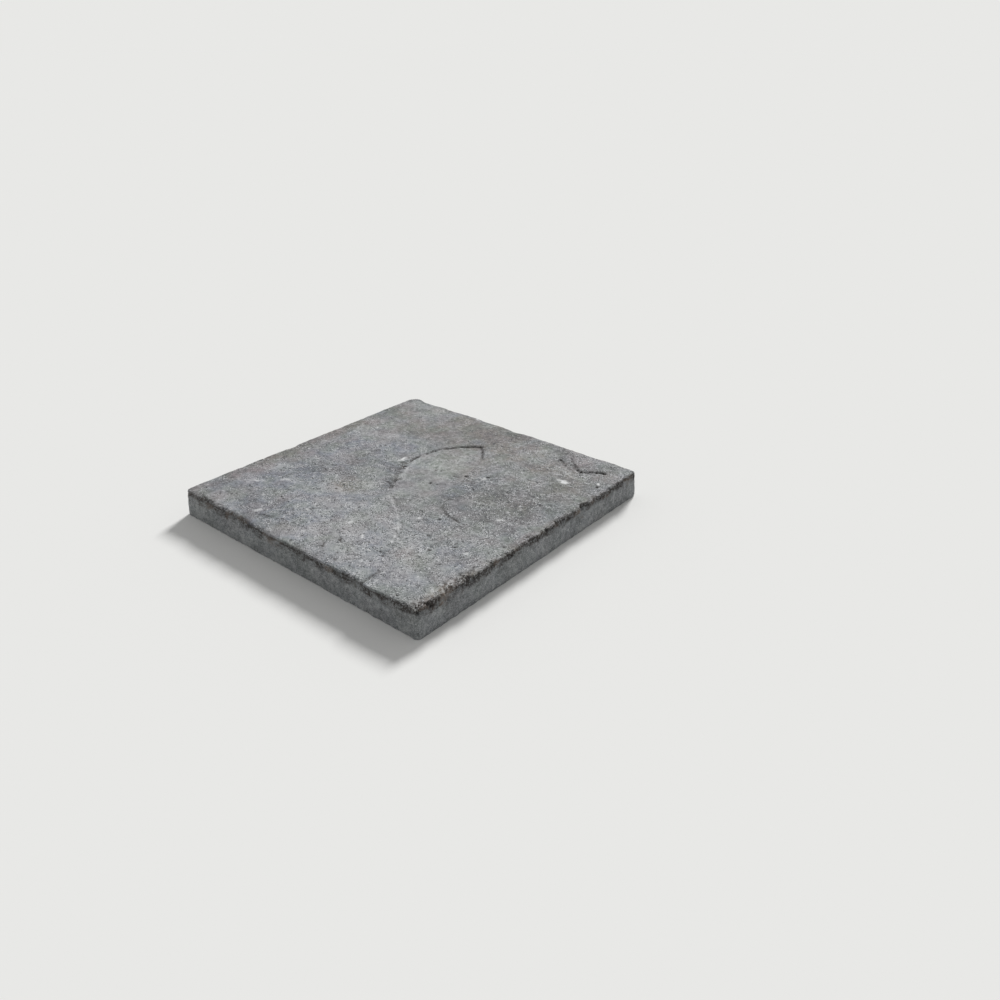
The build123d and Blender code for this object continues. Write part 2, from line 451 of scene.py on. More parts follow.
# Stains of the face, by the mark that they make: place, reach and strength of each smudge.
STAINS = {
    "brown": [
        ((26, 135), (28, 25), 0.6),
        ((-25, 185), (85, 50), 1.0),
        ((15, 170), (50, 45), 0.8),
        ((-100, 180), (80, 50), 0.35),
        ((30, 95), (40, 60), 0.3),
        ((110, 205), (70, 24), 0.35),
        ((200, 190), (24, 34), 0.45),
        ((-150, 120), (34, 24), 0.35),
        ((15, -18), (26, 26), 0.25),
        ((90, 110), (34, 34), 0.25),
        ((170, 130), (50, 60), 0.35),
        ((-213, -20), (19, 200), 0.9),
        ((-150, 130), (60, 35), 0.5),
        ((-62, -68), (28, 22), 0.8),
        ((130, 150), (60, 50), 0.4),
        ((217, -165), (11, 55), 1.0),
        ((219, 0), (8, 150), 0.6),
        ((140, 60), (60, 60), 0.4),
        ((145, -145), (35, 18), 0.5),
        ((0, 115), (30, 30), 0.5),
    ],
    "dark": [
        ((140, -22), (30, 24), 0.35),
        ((188, 30), (26, 26), 0.4),
        ((-133, -79), (28, 24), 0.35),
        ((-15, 168), (60, 38), 0.9),
        ((20, 208), (90, 18), 0.7),
        ((-85, 198), (34, 24), 0.35),
        ((150, 195), (55, 28), 0.4),
        ((132, 132), (38, 28), 0.45),
        ((185, 95), (34, 75), 0.5),
        ((-214, 0), (17, 225), 0.6),
        ((-198, -45), (28, 60), 0.3),
        ((-190, 150), (30, 50), 0.3),
        ((130, 35), (75, 50), 0.9),
        ((-120, 130), (60, 35), 0.5),
        ((-115, 5), (44, 30), 0.25),
        ((-120, -60), (75, 25), 0.5),
        ((-110, -185), (80, 34), 0.6),
        ((95, -12), (40, 30), 0.2),
        ((60, -60), (30, 25), 0.1),
        ((-145, -70), (14, 12), 0.6),
        ((-24, -24), (18, 22), 0.6),
        ((-52, 20), (9, 30), 0.8),
        ((102, -163), (11, 9), 0.8),
        ((150, -110), (30, 26), 0.35),
        ((125, -106), (24, 32), 0.25),
        ((178, -160), (36, 20), 0.4),
        ((-200, -196), (20, 20), 0.35),
        ((-18, -54), (16, 14), 0.3),
        ((172, 2), (34, 30), 0.25),
        ((88, 92), (28, 26), 0.4),
        ((88, 160), (22, 20), 0.25),
        ((55, 52), (18, 22), 0.3),
        ((-18, 98), (20, 30), 0.35),
        ((192, 160), (20, 20), 0.35),
        ((160, 126), (22, 18), 0.45),
        ((159, 53), (18, 18), 0.2),
        ((-55, 52), (14, 18), 0.2),
        ((-124, -122), (20, 18), 0.2),
        ((-195, -122), (16, 20), 0.2),
        ((160, -18), (18, 16), 0.2),
        ((-160, -54), (20, 16), 0.2),
    ],
    "bloom_and_highlight": [
        ((85, 190), (30, 22), 0.8),
        ((-133, 80), (28, 26), 0.4),
        ((26, -26), (26, 24), 0.35),
        ((-80, -130), (28, 26), 0.35),
        ((-20, -187), (34, 20), 0.35),
        ((-48, -160), (62, 22), 0.5),
        ((35, -150), (40, 26), 0.3),
        ((-150, 205), (36, 16), 0.7),
        ((-166, 162), (34, 24), 0.55),
        ((80, -140), (130, 60), 0.8),
        ((0, -88), (130, 36), 0.4),
        ((35, -190), (85, 26), 0.65),
        ((-85, 78), (50, 35), 0.25),
        ((-5, 60), (40, 55), 0.35),
        ((150, 155), (45, 12), 0.6),
        ((-190, 62), (30, 25), 0.5),
        ((-183, -95), (9, 22), 0.7),
        ((-172, -142), (18, 14), 0.7),
        ((-160, -196), (20, 20), 0.45),
        ((-122, -20), (24, 20), 0.3),
        ((-124, 50), (20, 20), 0.25),
        ((194, 50), (18, 18), 0.3),
        ((-55, 198), (24, 20), 0.35),
        ((-88, 18), (22, 22), 0.3),
        ((-60, -110), (80, 35), 0.35),
        ((150, -190), (60, 30), 0.5),
        ((145, -85), (50, 30), 0.3),
        ((-53, 92), (16, 18), 0.3),
        ((17, -196), (18, 16), 0.3),
        ((-53, -50), (18, 16), 0.25),
        ((158, 194), (18, 14), 0.25),
        ((159, -122), (18, 16), 0.25),
        ((-90, 160), (20, 18), 0.25),
        ((-10, -12), (12, 12), 0.3),
        ((44, -74), (12, 10), 0.6),
        ((70, -102), (14, 8), 0.6),
        ((205, -185), (12, 10), 0.7),
    ],
    "lilac": [
        ((-190, 32), (30, 32), 1.0),
        ((-160, -26), (55, 28), 0.7),
        ((-150, -190), (60, 25), 0.85),
        ((15, -180), (34, 34), 0.5),
        ((-90, 55), (34, 28), 0.9),
        ((-150, 30), (80, 80), 1.0),
        ((-146, -71), (16, 14), 0.8),
        ((-120, -150), (120, 85), 1.0),
        ((60, -160), (160, 70), 0.6),
        ((60, -75), (120, 40), 0.5),
        ((-2, -168), (26, 20), 0.7),
        ((75, 15), (35, 30), 0.8),
        ((100, -22), (22, 18), 0.8),
        ((48, -128), (25, 20), 0.5),
        ((195, -125), (20, 20), 0.5),
        ((200, 60), (22, 35), 0.5),
    ],
    "moss": [
        ((-212, -155), (18, 14), 0.9),
        ((-137, 128), (22, 16), 0.6),
        ((58, 5), (8, 14), 0.5),
        ((-5, 55), (40, 55), 0.5),
        ((198, 62), (24, 34), 0.5),
        ((20, -140), (14, 12), 0.5),
        ((175, -30), (26, 20), 0.4),
        ((196, 90), (22, 26), 0.4),
        ((196, 196), (20, 18), 0.35),
        ((53, 38), (20, 28), 0.35),
        ((-90, 196), (22, 18), 0.45),
        ((-18, 16), (18, 16), 0.3),
        ((88, -122), (22, 18), 0.35),
        ((-53, -140), (20, 28), 0.35),
        ((60, -88), (55, 20), 0.2),
        ((110, -18), (60, 20), 0.2),
    ],
    "rose": [
        ((-196, 90), (20, 24), 0.35),
        ((-197, -24), (18, 30), 0.45),
        ((-36, 197), (30, 16), 0.3),
        ((-165, -196), (28, 16), 0.3),
        ((122, 18), (18, 16), 0.25),
        ((148, 196), (30, 16), 1.0),
        ((-205, -126), (18, 45), 0.8),
        ((127, -148), (16, 12), 0.7),
        ((216, -20), (7, 30), 0.7),
    ],
}

# Where the face has lost its fines and is coarse, or, with a strength below 0, where it
# is calm: place, reach and strength.
COARSE_PATCHES = [
    ((-130, 165), (140, 80), -0.8),
    ((-180, -180), (60, 50), -0.4),
    ((165, 180), (60, 50), 1.2),
    ((-120, -20), (85, 90), 0.35),
    ((135, 25), (90, 80), 0.8),
    ((110, -110), (110, 80), 0.9),
    ((10, -150), (110, 60), 0.8),
    ((-100, -170), (90, 40), 0.6),
    ((-25, -20), (22, 35), 0.9),
    ((60, 40), (30, 40), 0.6),
    ((-70, -60), (90, 40), 0.5),
    ((95, -6), (17, 13), -1.5),
    ((120, -20), (10, 9), -1.6),
    ((188, -137), (9, 9), -1.6),
    ((128, -135), (9, 9), -1.6),
    ((42, -144), (10, 8), -1.6),
    ((26, -170), (9, 9), -1.6),
    ((47, -194), (11, 9), -1.6),
]

# Crumbled places full of loose grit, most of them by the arris: place, reach and strength.
RUBBLE = [
    ((-50, 32), (6, 8), 0.7),
    ((-43, 20), (8, 9), 1.0),
    ((-35, 2), (7, 7), 0.7),
    ((-24, -14), (10, 8), 0.8),
    ((-31, -25), (6, 6), 0.7),
    ((-15, -31), (8, 8), 0.75),
    ((-19, -43), (5, 5), 0.4),
    ((116, 190), (6, 14), 0.5),
    ((187, 186), (8, 4), 0.5),
    ((218, -140), (9, 17), 1.1),
    ((216, -168), (11, 13), 1.1),
    ((218, -212), (10, 12), 1.1),
    ((205, -221), (8, 4), 0.5),
    ((220, -92), (6, 10), 0.8),
    ((219, -22), (8, 8), 0.8),
    ((222, 40), (5, 12), 0.6),
    ((220, 92), (8, 8), 0.9),
    ((223, 122), (5, 12), 0.6),
    ((223, 190), (5, 10), 0.6),
    ((-219, 205), (8, 14), 0.5),
    ((-160, -219), (40, 5), 0.4),
]

# Steps by which each seed moves a noise away from the others.
NOISE_STEPS = (13.7, 7.9, 3.3)

# Each octave of a noise is half as wide as the one before, and half as strong.
OCTAVE_FADE = 1.0
OCTAVE_RATIO = 2.0

# Long swell of the face along X and along Y, as in the solid: length of a wave and place of a crest.
SWELL_WAVES = ((390, -140), (520, -190))

# The scattered pits and ledges stay this near the middle of the face.
PIT_REACH = 215
LEDGE_REACH = 212

# Depth of a pit and of a blow-hole for each millimetre of its radius.
PIT_DEPTH = 0.75
HOLE_DEPTH = 0.7

# Levels between which the blow-holes lie.
HOLE_LEVELS = (3, 31)

# Width of the band in which the set-back of one side passes into the next.
CORNER_FADE = 6.0

# Deepest set-back of the arris.
DEEPEST_BITE = 8

# Places along X and along Y between which the arris grows more worn.
WORN_BAND = (205, 222)

# The face's mesh rows draw closer towards the arris, and so do the rows down the sides.
FACE_CROWDING = 0.06
SIDE_CROWDING = 1.35

# What one row down the sides counts for in the noises, in millimetres.
ROW_STEP = 4.0

# How far inwards and downwards a set-back outline eases off, how far inwards a bitten
# arris sinks, how wide the band is in which points follow the outline, and how far two
# sides share it at a corner.
EASE_INWARDS = 7
EASE_DOWNWARDS = 9
SINK_INWARDS = 4
FOLLOW_BAND = 14
CORNER_BAND = 3

# Depth below the solid's top within which the highest relief is pressed down.
SOFT_CEILING = 0.3

# The sides lean out by about this much half way down, where the blow-holes sit.
MID_LEAN = 1

# Places along X between which the rubble of the right arris begins, and its soil with the painted shadow of
# the joint.
RUBBLE_BAND = (205, 218)
SOIL_AND_SHADOW_BAND = (150, 215)

# Least coarseness that a calm patch brings the face down to, and that of the cast sides.
CALMEST = -0.6
CAST_CALM = -0.45


def smoothstep(low, high, value):
    """0 below low, 1 above high, and an even curve between."""
    share = np.clip((value - low) / (high - low), 0, 1)
    return share * share * (3 - 2 * share)


def bell(value, centre, spread):
    """1 at the centre, and falling off on both sides."""
    return np.exp(-((value - centre) / spread) ** 2)


def bowl(away, depth):
    """Depth of a round bowl that ends where away reaches 1."""
    return depth * np.clip(1 - away**2, 0, None)


def wander(places, size, seed, octaves=1):
    """Smooth noise at each place, with humps of the given size and a mean swing of 1."""
    shift = Vector([step * seed for step in NOISE_STEPS])
    values = []
    for place in places:
        spot = Vector(place) / size + shift
        values.append(noise.fractal(spot, OCTAVE_FADE, OCTAVE_RATIO, octaves))
    values = np.array(values)
    return values / np.sqrt(np.mean(values**2))


def smooth_line(points, steps=8):
    """Points along a rounded line through the given ones."""
    ends = [points[0]] + list(points) + [points[-1]]
    knots = np.array(ends, float)
    line = []
    for index in range(len(points) - 1):
        before, start, stop, after = knots[index : index + 4]
        for step in range(steps):
            t = step / steps
            line.append(
                0.5 * (2 * start + (stop - before) * t
                       + (2 * before - 5 * start + 4 * stop - after) * t**2
                       + (3 * start - before - 3 * stop + after) * t**3)
            )
    line.append(knots[-1])
    return np.array(line)


def from_line(plan, line):
    """Distance of each plan point from a line of points, and the side that it lies on."""
    best = np.full(len(plan), np.inf)
    side = np.zeros(len(plan))
    for start, stop in zip(line[:-1], line[1:]):
        run = stop - start
        share = np.clip((plan - start) @ run / (run @ run), 0, 1)
        gap = plan - start - share[:, None] * run
        distance = np.hypot(gap[:, 0], gap[:, 1])
        turn = run[0] * (plan[:, 1] - start[1]) - run[1] * (plan[:, 0] - start[0])
        nearer = distance < best
        best = np.where(nearer, distance, best)
        side = np.where(nearer, np.sign(turn), side)
    return best, side


def inside_ring(plan, ring):
    """True for each plan point within a closed ring of points."""
    x, y = plan[:, 0], plan[:, 1]
    within = np.zeros(len(plan), bool)
    for (x1, y1), (x2, y2) in zip(ring, np.roll(ring, -1, axis=0)):
        if y1 == y2:
            continue
        crosses = (y1 > y) != (y2 > y)
        within ^= crosses & (x < (x2 - x1) * (y - y1) / (y2 - y1) + x1)
    return within


def seen_from(plan, x, y, turn):
    """Each plan point as seen from a place: how far along a direction, and how far across it."""
    along = (plan[:, 0] - x) * math.cos(turn) + (plan[:, 1] - y) * math.sin(turn)
    across = (plan[:, 1] - y) * math.cos(turn) - (plan[:, 0] - x) * math.sin(turn)
    return along, across


def blots(plan, marks, ruffle, low=0):
    """Sum of soft blots, their edges ruffled by a noise."""
    total = np.zeros(len(plan))
    for (x, y), (reach_x, reach_y), strength in marks:
        away = np.hypot((plan[:, 0] - x) / reach_x, (plan[:, 1] - y) / reach_y)
        total += strength * (1 - smoothstep(0.15, 1.35, away + 0.35 * ruffle))
    return np.clip(total, low, 1)


def face_swell(plan, rise):
    """Height of the face's long swell about its mean level."""
    wave_x, wave_y = (
        np.cos(2 * math.pi * (plan[:, axis] - crest) / pitch)
        for axis, (pitch, crest) in enumerate(SWELL_WAVES)
    )
    return rise * (wave_x + wave_y)


def split_scale(plan, rim, away, depth, wall_width, ruffle):
    """Depth of a scale that split off on one side of a rim, and how near its rim is."""
    line = smooth_line(rim)
    distance, side = from_line(plan, line)
    heading = np.array([math.cos(math.radians(away)), math.sin(math.radians(away))])
    middle = line[len(line) // 2]
    probe = from_line((middle + heading)[None, :], line)[1][0]
    middle = middle + heading * DISH_SET_IN
    reach = min(np.hypot(*(line[0] - middle)), np.hypot(*(line[-1] - middle)))
    radial = np.hypot(plan[:, 0] - middle[0], plan[:, 1] - middle[1])
    dish = bowl(radial / reach, depth)
    signed = distance * side * probe + ruffle
    wall = smoothstep(-0.5 * wall_width, 0.5 * wall_width, signed)
    foot = bell(signed, 0.3 * wall_width, 0.6 * wall_width) * np.clip(dish / depth, 0, 1)
    return dish * wall, foot


def flake_bed(plan, depth, ruffle):
    """Depth of the flake's leaning bed, how near its sunk rim is, and the flake's area."""
    down = smooth_line([FLAKE_TIP, *FLAKE_LEFT, FLAKE_FOOT])
    up = smooth_line([FLAKE_FOOT, *FLAKE_RIGHT, FLAKE_TIP])
    ring = np.concatenate([down, up[1:]])
    distance, _ = from_line(plan, ring)
    signed = np.where(inside_ring(plan, ring), distance, -distance) + ruffle
    downhill = (FLAKE_TIP[0] - plan[:, 0]) * math.sin(FLAKE_LEAN)
    downhill += (FLAKE_TIP[1] - plan[:, 1]) * math.cos(FLAKE_LEAN)
    bed = depth * np.clip(1 - downhill / FLAKE_RUN_OUT, 0, 1.05)
    wall = smoothstep(-1.0, 1.2, signed)
    foot = bell(signed, 0.4, 1.7) * np.clip(bed / depth, 0, 1)
    # The painted shade under the right rim starts only above these places.
    foot *= np.where(plan[:, 0] > FLAKE_TIP[0], smoothstep(*FLAKE_SOIL_AND_SHADE_ENDS, plan[:, 1]), 1)
    return bed * wall, foot, smoothstep(-1, 4, signed)


def near_lines(plan, lines, ruffle):
    """For each line of some width, how near each plan point is to it, from 0 to 1."""
    for line, width, *values in lines:
        distance, _ = from_line(plan, smooth_line(line))
        near = 1 - smoothstep(0.15, 1.0, (distance + ruffle) / (0.5 * width))
        yield near, values


def pit_bowls(plan, relief):
    """Depth of the open pits, the named ones and a random scatter."""
    draw = random.Random(relief.seed)
    pits = list(DEEP_PITS)
    for _ in range(relief.pits):
        place = (draw.uniform(-PIT_REACH, PIT_REACH), draw.uniform(-PIT_REACH, PIT_REACH))
        pits.append((place, draw.uniform(1.0, 2.0)))
    depth = np.zeros(len(plan))
    for (x, y), radius in pits:
        turn = draw.uniform(0, math.pi)
        narrow = draw.uniform(1.0, 1.9)
        along, across = seen_from(plan, x, y, turn)
        away = np.hypot(along, across * narrow) / radius
        depth = np.maximum(depth, bowl(away, PIT_DEPTH * radius))
    return depth


def small_ledges(plan, relief):
    """Drop beside the short bent ledges where thin skins of paste came off, and how near each foot is."""
    draw = random.Random(relief.seed + 1)
    drop = np.zeros(len(plan))
    foot = np.zeros(len(plan))
    for _ in range(relief.ledges):
        x, y = draw.uniform(-LEDGE_REACH, LEDGE_REACH), draw.uniform(-LEDGE_REACH, LEDGE_REACH)
        turn = draw.uniform(0, 2 * math.pi)
        half = draw.uniform(3.0, 13.0)
        bend = draw.uniform(-0.4, 0.4) / half
        share = draw.uniform(0.3, 1.0)
        along, across = seen_from(plan, x, y, turn)
        across = across - bend * along**2
        ends = share * (1 - smoothstep(0.4, 1.0, np.abs(along) / half))
        feather = np.exp(-np.clip(across, 0, None) / (0.5 * half))
        drop = np.maximum(drop, ends * smoothstep(-0.8, 1.0, across) * feather)
        foot = np.maximum(foot, ends * bell(across, 0.4, 1.3))
    return drop * relief.ledge_depth / MM, foot


def blow_holes(x, y, z, relief, reach_x, reach_y):
    """Depth of the air bubbles that are open on the cast sides."""
    draw = random.Random(relief.seed + 2)
    depth = np.zeros(len(x))
    for _ in range(relief.blow_holes):
        along = draw.uniform(-0.95, 0.95)
        end = draw.choice((-1, 1))
        on_long = draw.random() < 0.5
        place = (along * reach_x, end * reach_y) if on_long else (end * reach_x, along * reach_y)
        level = draw.uniform(*HOLE_LEVELS)
        radius = 1.1 + 2.2 * draw.random() ** 2
        away = np.sqrt((x - place[0]) ** 2 + (y - place[1]) ** 2 + (z - level) ** 2) / radius
        depth = np.maximum(depth, bowl(away, HOLE_DEPTH * radius))
    return depth


def chip_bumps(plan, ruffle):
    """Standing height, 0 to 1, of the pale chips pressed into the face."""
    bump = np.zeros(len(plan))
    for (x, y), long, short, turn, whiteness in PALE_CHIPS:
        along, across = seen_from(plan, x, y, math.radians(turn))
        away = np.hypot(along / long, across / short) + ruffle
        bump = np.maximum(bump, whiteness * (1 - smoothstep(0.4, 1.1, away)))
    return bump


def set_back_at(places, line):
    """Set-back of an arris at each place along it, rounded between the given points."""
    steps = smooth_line(line)
    return np.interp(places, steps[:, 0], steps[:, 1])


def arris_bites(plan, places, relief):
    """How far the outline is set back at each point near it, in plan, and how far the arris is sunk."""
    ragged = relief.ragged / MM
    x, y = plan[:, 0], plan[:, 1]
    right, left, far, near = (
        smoothstep(-CORNER_FADE, 0.0, out - np.abs(along))
        for out, along in ((x, y), (-x, y), (y, x), (-y, x))
    )
    fine = wander(places, size=5.5, seed=5, octaves=2)
    broad = wander(places, size=19, seed=6, octaves=2)
    bite = right * ragged * np.clip(0.5 * fine + 0.3 * broad, -0.1, 1.6)
    bite += near * np.clip(0.25 * fine + 0.3 * broad, -0.2, 1.2)
    bite += (left + far) * np.clip(0.15 * fine + 0.15 * broad, -0.2, 0.6)
    bite += near * set_back_at(x, NEAR_LINE) + right * set_back_at(y, RIGHT_LINE)
    for (px, py), reach, depth in CRUMBLES:
        away = np.hypot(x - px, y - py) / reach
        bite = np.maximum(bite, depth * (1 - smoothstep(0.25, 1.1, away + 0.12 * fine)))
    set_back = bite + far * set_back_at(x, FAR_LINE)
    return np.clip(set_back, 0, DEEPEST_BITE), np.clip(bite, 0, DEEPEST_BITE)


def arris_wear(plan, places, relief):
    """Radius of the worn arris at each point."""
    broad = wander(places, size=40, seed=3)
    fine = wander(places, size=9, seed=4)
    radius = relief.arris_radius / MM * (1 + 0.12 * broad + 0.15 * fine)
    low_x, high_x = WORN_BAND
    radius += 0.8 * np.maximum(smoothstep(*WORN_BAND, plan[:, 0]), smoothstep(-low_x, -high_x, plan[:, 1]))
    return np.clip(radius, 0.8, 4.0)


def put_in_order(mesh):
    """Sorts edges and faces by their points, because extruding makes them in no fixed order."""
    mesh.verts.index_update()
    points = len(mesh.verts)

    def by_lowest_points(item):
        number = 0
        for index in sorted(vert.index for vert in item.verts)[:3]:
            number = number * points + index
        return number

    mesh.edges.sort(key=by_lowest_points)
    mesh.faces.sort(key=by_lowest_points)


def cast_block(shape):
    """Closed block mesh: a fine grid for the face, rings down the sides, and the bed."""
    mesh = bmesh.new()
    rows = shape.face_rows
    bmesh.ops.create_grid(mesh, x_segments=rows, y_segments=rows, size=1.0)
    rim = [edge for edge in mesh.edges if edge.is_boundary]
    for _ in range(shape.side_rows):
        made = bmesh.ops.extrude_edge_only(mesh, edges=rim)["geom"]
        ring = [item for item in made if isinstance(item, bmesh.types.BMVert)]
        rim = [item for item in made if isinstance(item, bmesh.types.BMEdge) and item.is_boundary]
        bmesh.ops.translate(mesh, verts=ring, vec=(0, 0, -1))
    bed = bmesh.ops.edgeloop_fill(mesh, edges=rim)["faces"]
    bmesh.ops.recalc_face_normals(mesh, faces=mesh.faces)
    for item in mesh.faces:
        item.smooth = True
    for item in bed:
        item.smooth = False
        for edge in item.edges:
            edge.smooth = False
    put_in_order(mesh)
    return mesh


def round_corners(x, y, half_x, half_y, radius):
    """Moves square corners in plan onto rounded ones, and gives the outward direction."""
    over_x = np.clip(np.abs(x) - (half_x - radius), 0, None)
    over_y = np.clip(np.abs(y) - (half_y - radius), 0, None)
    long = np.maximum(over_x, over_y)
    length = np.hypot(over_x, over_y)
    whole = np.where(length > 0, length, 1)
    share = np.where((over_x > 0) & (over_y > 0), long / whole, 1)
    new_x = np.sign(x) * (np.clip(np.abs(x), None, half_x - radius) + over_x * share)
    new_y = np.sign(y) * (np.clip(np.abs(y), None, half_y - radius) + over_y * share)
    return new_x, new_y, np.sign(x) * over_x / whole, np.sign(y) * over_y / whole


def inset_from_sides(x, y, half_x, half_y, radius):
    """Distance in from the slab's rounded outline."""
    over_x = np.abs(x) - (half_x - radius)
    over_y = np.abs(y) - (half_y - radius)
    outside = np.hypot(np.clip(over_x, 0, None), np.clip(over_y, 0, None))
    inside = np.minimum(np.maximum(over_x, over_y), 0)
    return radius - outside - inside


def spread_points(mesh_data, shape, relief):
    """The block's points spread over the slab's plan, in millimetres, and the body's sizes."""
    raw = np.empty(len(mesh_data.vertices) * 3)
    mesh_data.vertices.foreach_get("co", raw)
    raw = raw.reshape(-1, 3)
    rows_down = -raw[:, 2]
    slab = SimpleNamespace()
    slab.on_face = rows_down < 0.5
    slab.share_down = np.clip(rows_down / shape.side_rows, 0, 1) ** SIDE_CROWDING
    slab.draft = math.tan(shape.mould_draft)
    slab.face_height = shape.face_height / MM
    slab.top = shape.top / MM
    slab.limit_x = 0.5 * shape.length / MM
    slab.limit_y = 0.5 * shape.width / MM
    slab.arris_level = slab.face_height - relief.arris_radius / MM
    slab.half_x = slab.limit_x - slab.arris_level * slab.draft
    slab.half_y = slab.limit_y - slab.arris_level * slab.draft
    radius = shape.corner_radius / MM

    closer = (1 + FACE_CROWDING) * raw[:, :2] - FACE_CROWDING * raw[:, :2] ** 9
    slab.x, slab.y, slab.out_x, slab.out_y = round_corners(
        closer[:, 0] * slab.half_x, closer[:, 1] * slab.half_y, slab.half_x, slab.half_y, radius
    )
    inset = inset_from_sides(slab.x, slab.y, slab.half_x, slab.half_y, radius)
    slab.distance = np.clip(inset, 0, None)
    slab.plan = np.stack([slab.x, slab.y], axis=1)
    slab.places = np.stack([slab.x, slab.y, -ROW_STEP * rows_down], axis=1)
    return slab


def draw_outline_in(slab, relief):
    """Sets the outline back where the arris is bitten, less and less inwards and downwards."""
    set_back, slab.bite = arris_bites(slab.plan, slab.places, relief)
    fallen = slab.face_height * slab.share_down
    drawn_in = set_back * bell(slab.distance, 0, EASE_INWARDS) * bell(fallen, 0, EASE_DOWNWARDS)
    toward_x = np.sign(slab.x) * smoothstep(slab.half_x - FOLLOW_BAND, slab.half_x, np.abs(slab.x))
    toward_y = np.sign(slab.y) * smoothstep(slab.half_y - FOLLOW_BAND, slab.half_y, np.abs(slab.y))
    slab.x = slab.x - toward_x * drawn_in * (np.abs(slab.x) >= np.abs(slab.y) - CORNER_BAND)
    slab.y = slab.y - toward_y * drawn_in * (np.abs(slab.y) >= np.abs(slab.x) - CORNER_BAND)
    slab.plan = np.stack([slab.x, slab.y], axis=1)


def split_scales(plan, relief, ruffle, ruffle_fine):
    """Depth of the flake and the scales, how near their rims are, and the flake's area."""
    drop, feet, flake_area = flake_bed(plan, relief.flake_depth / MM, ruffle + ruffle_fine)
    for rim, away, depth, wall_width in SCALES.values():
        scale, foot = split_scale(plan, rim, away, depth, wall_width, 1.6 * ruffle + ruffle_fine)
        drop = np.maximum(drop, scale)
        feet = np.maximum(feet, foot)
    return drop, feet, flake_area


def groove_lines(plan, ruffle, clumps):
    """Depth of the narrow grooves, and how much soil and painted shadow sits in them."""
    deepest = np.zeros(len(plan))
    soil_and_shadow = np.zeros(len(plan))
    for near, (depth, soil) in near_lines(plan, GROOVES, ruffle):
        deepest = np.maximum(deepest, depth * near)
        soil_and_shadow = np.maximum(soil_and_shadow, soil * near * np.clip(0.9 + 0.3 * clumps, 0.4, 1.3))
    return deepest, soil_and_shadow


def lip_highlights(plan, ruffle):
    """How near each plan point is to a lip of fresh paste, which is raised a little and given a painted
    highlight.
    """
    lip = np.zeros(len(plan))
    for near, _ in near_lines(plan, LIP_HIGHLIGHT_LINES, ruffle):
        lip = np.maximum(lip, near)
    return lip


def cleft_face(slab, relief):
    """Height of the riven face about its swell, and the parts that it is made of."""
    plan, places = slab.plan, slab.places
    face = SimpleNamespace()
    face.ruffle = 0.45 * wander(places, size=7, seed=11, octaves=2)
    ruffle_fine = 0.35 * wander(places, size=3.5, seed=12)
    drop, face.feet, face.flake = split_scales(plan, relief, face.ruffle, ruffle_fine)

    face.coarse = blots(plan, COARSE_PATCHES, 0.25 * wander(places, size=22, seed=43, octaves=3), CALMEST)
    face.coarse *= 1 - 0.85 * face.flake
    face.swing = 0.7 + 0.8 * face.coarse - 0.3 * face.flake
    face.clumps = wander(places, size=7.5, seed=23, octaves=2)
    face.stones = wander(places, size=3.4, seed=24, octaves=2)
    rolls = wander(places, size=55, seed=21, octaves=3)
    ripples = wander(places, size=16, seed=22, octaves=2)
    height = relief.roll / MM * rolls + relief.ripple / MM * ripples
    height += (relief.clump / MM * face.clumps + relief.grit / MM * face.stones) * face.swing

    face.pits = pit_bowls(plan, relief)
    ledges, face.ledge_foot = small_ledges(plan, relief)
    face.chips = chip_bumps(plan, 0.18 * face.stones + 0.12 * face.clumps)
    grooves, face.groove_soil = groove_lines(plan, face.ruffle + ruffle_fine, face.clumps)
    face.lip = lip_highlights(plan, 1.5 * face.ruffle)
    height += 0.4 * face.chips + 0.25 * face.lip - face.pits - drop - grooves - ledges * face.swing
    face.height = height
    return face


def crumble(slab, face):
    """Strength of the crumbled rubble, on the face and along the right arris."""
    inland = smoothstep(7, 0, slab.distance + 2 * face.clumps)
    along_arris = 0.5 * inland * smoothstep(*RUBBLE_BAND, slab.x)
    return np.maximum(blots(slab.plan, RUBBLE, 0.3 * face.clumps), along_arris)


def raise_face(slab, face, relief):
    """Level of the riven face above the bed.

    The drop of its worn arris and its rubble are kept for the material's marks.
    """
    mean = slab.face_height - relief.headroom / MM
    level = mean + face_swell(slab.plan, relief.swell_rise / MM) + face.height
    ceiling = slab.top - SOFT_CEILING
    pressed = ceiling + SOFT_CEILING * np.tanh((level - slab.top + SOFT_CEILING) / SOFT_CEILING)
    level = np.where(level > ceiling, pressed, level)
    wear = arris_wear(slab.plan, slab.places, relief)
    short = np.clip(wear - slab.distance, 0, wear)
    slab.arris_drop = wear - np.sqrt(np.clip(wear**2 - short**2, 0, None))
    slab.rubble = crumble(slab, face)
    crumbs = slab.rubble * np.clip(0.9 - 0.8 * face.stones + 0.4 * face.clumps, 0, 2.2)
    return level - slab.arris_drop - 0.5 * slab.bite * bell(slab.distance, 0, SINK_INWARDS) - crumbs


def lean_sides(slab, level, relief):
    """Sets the rows down the leaning sides, with the unevenness of the mould and the blow-holes."""
    places = slab.places
    slab.z = level * (1 - slab.share_down)
    lean = np.clip(slab.arris_level - slab.z, 0, None) * slab.draft
    rough = np.abs(wander(places, size=8, seed=31, octaves=3))
    dented = np.clip(wander(places, size=14, seed=32, octaves=2), 0, None)
    lean -= 0.08 * rough + 0.2 * dented
    wear = 1 + 0.4 * wander(places, size=12, seed=34, octaves=2)
    lean -= relief.foot_wear / MM * smoothstep(3, 0, slab.z) * wear
    lean = np.where(slab.on_face, 0, lean)
    slab.x = slab.x + slab.out_x * lean
    slab.y = slab.y + slab.out_y * lean
    reach_x = slab.half_x + MID_LEAN
    reach_y = slab.half_y + MID_LEAN
    holes = blow_holes(slab.x, slab.y, slab.z, relief, reach_x, reach_y)
    slab.holes = np.where(slab.on_face, 0, holes)
    slab.x = slab.x - slab.out_x * slab.holes
    slab.y = slab.y - slab.out_y * slab.holes


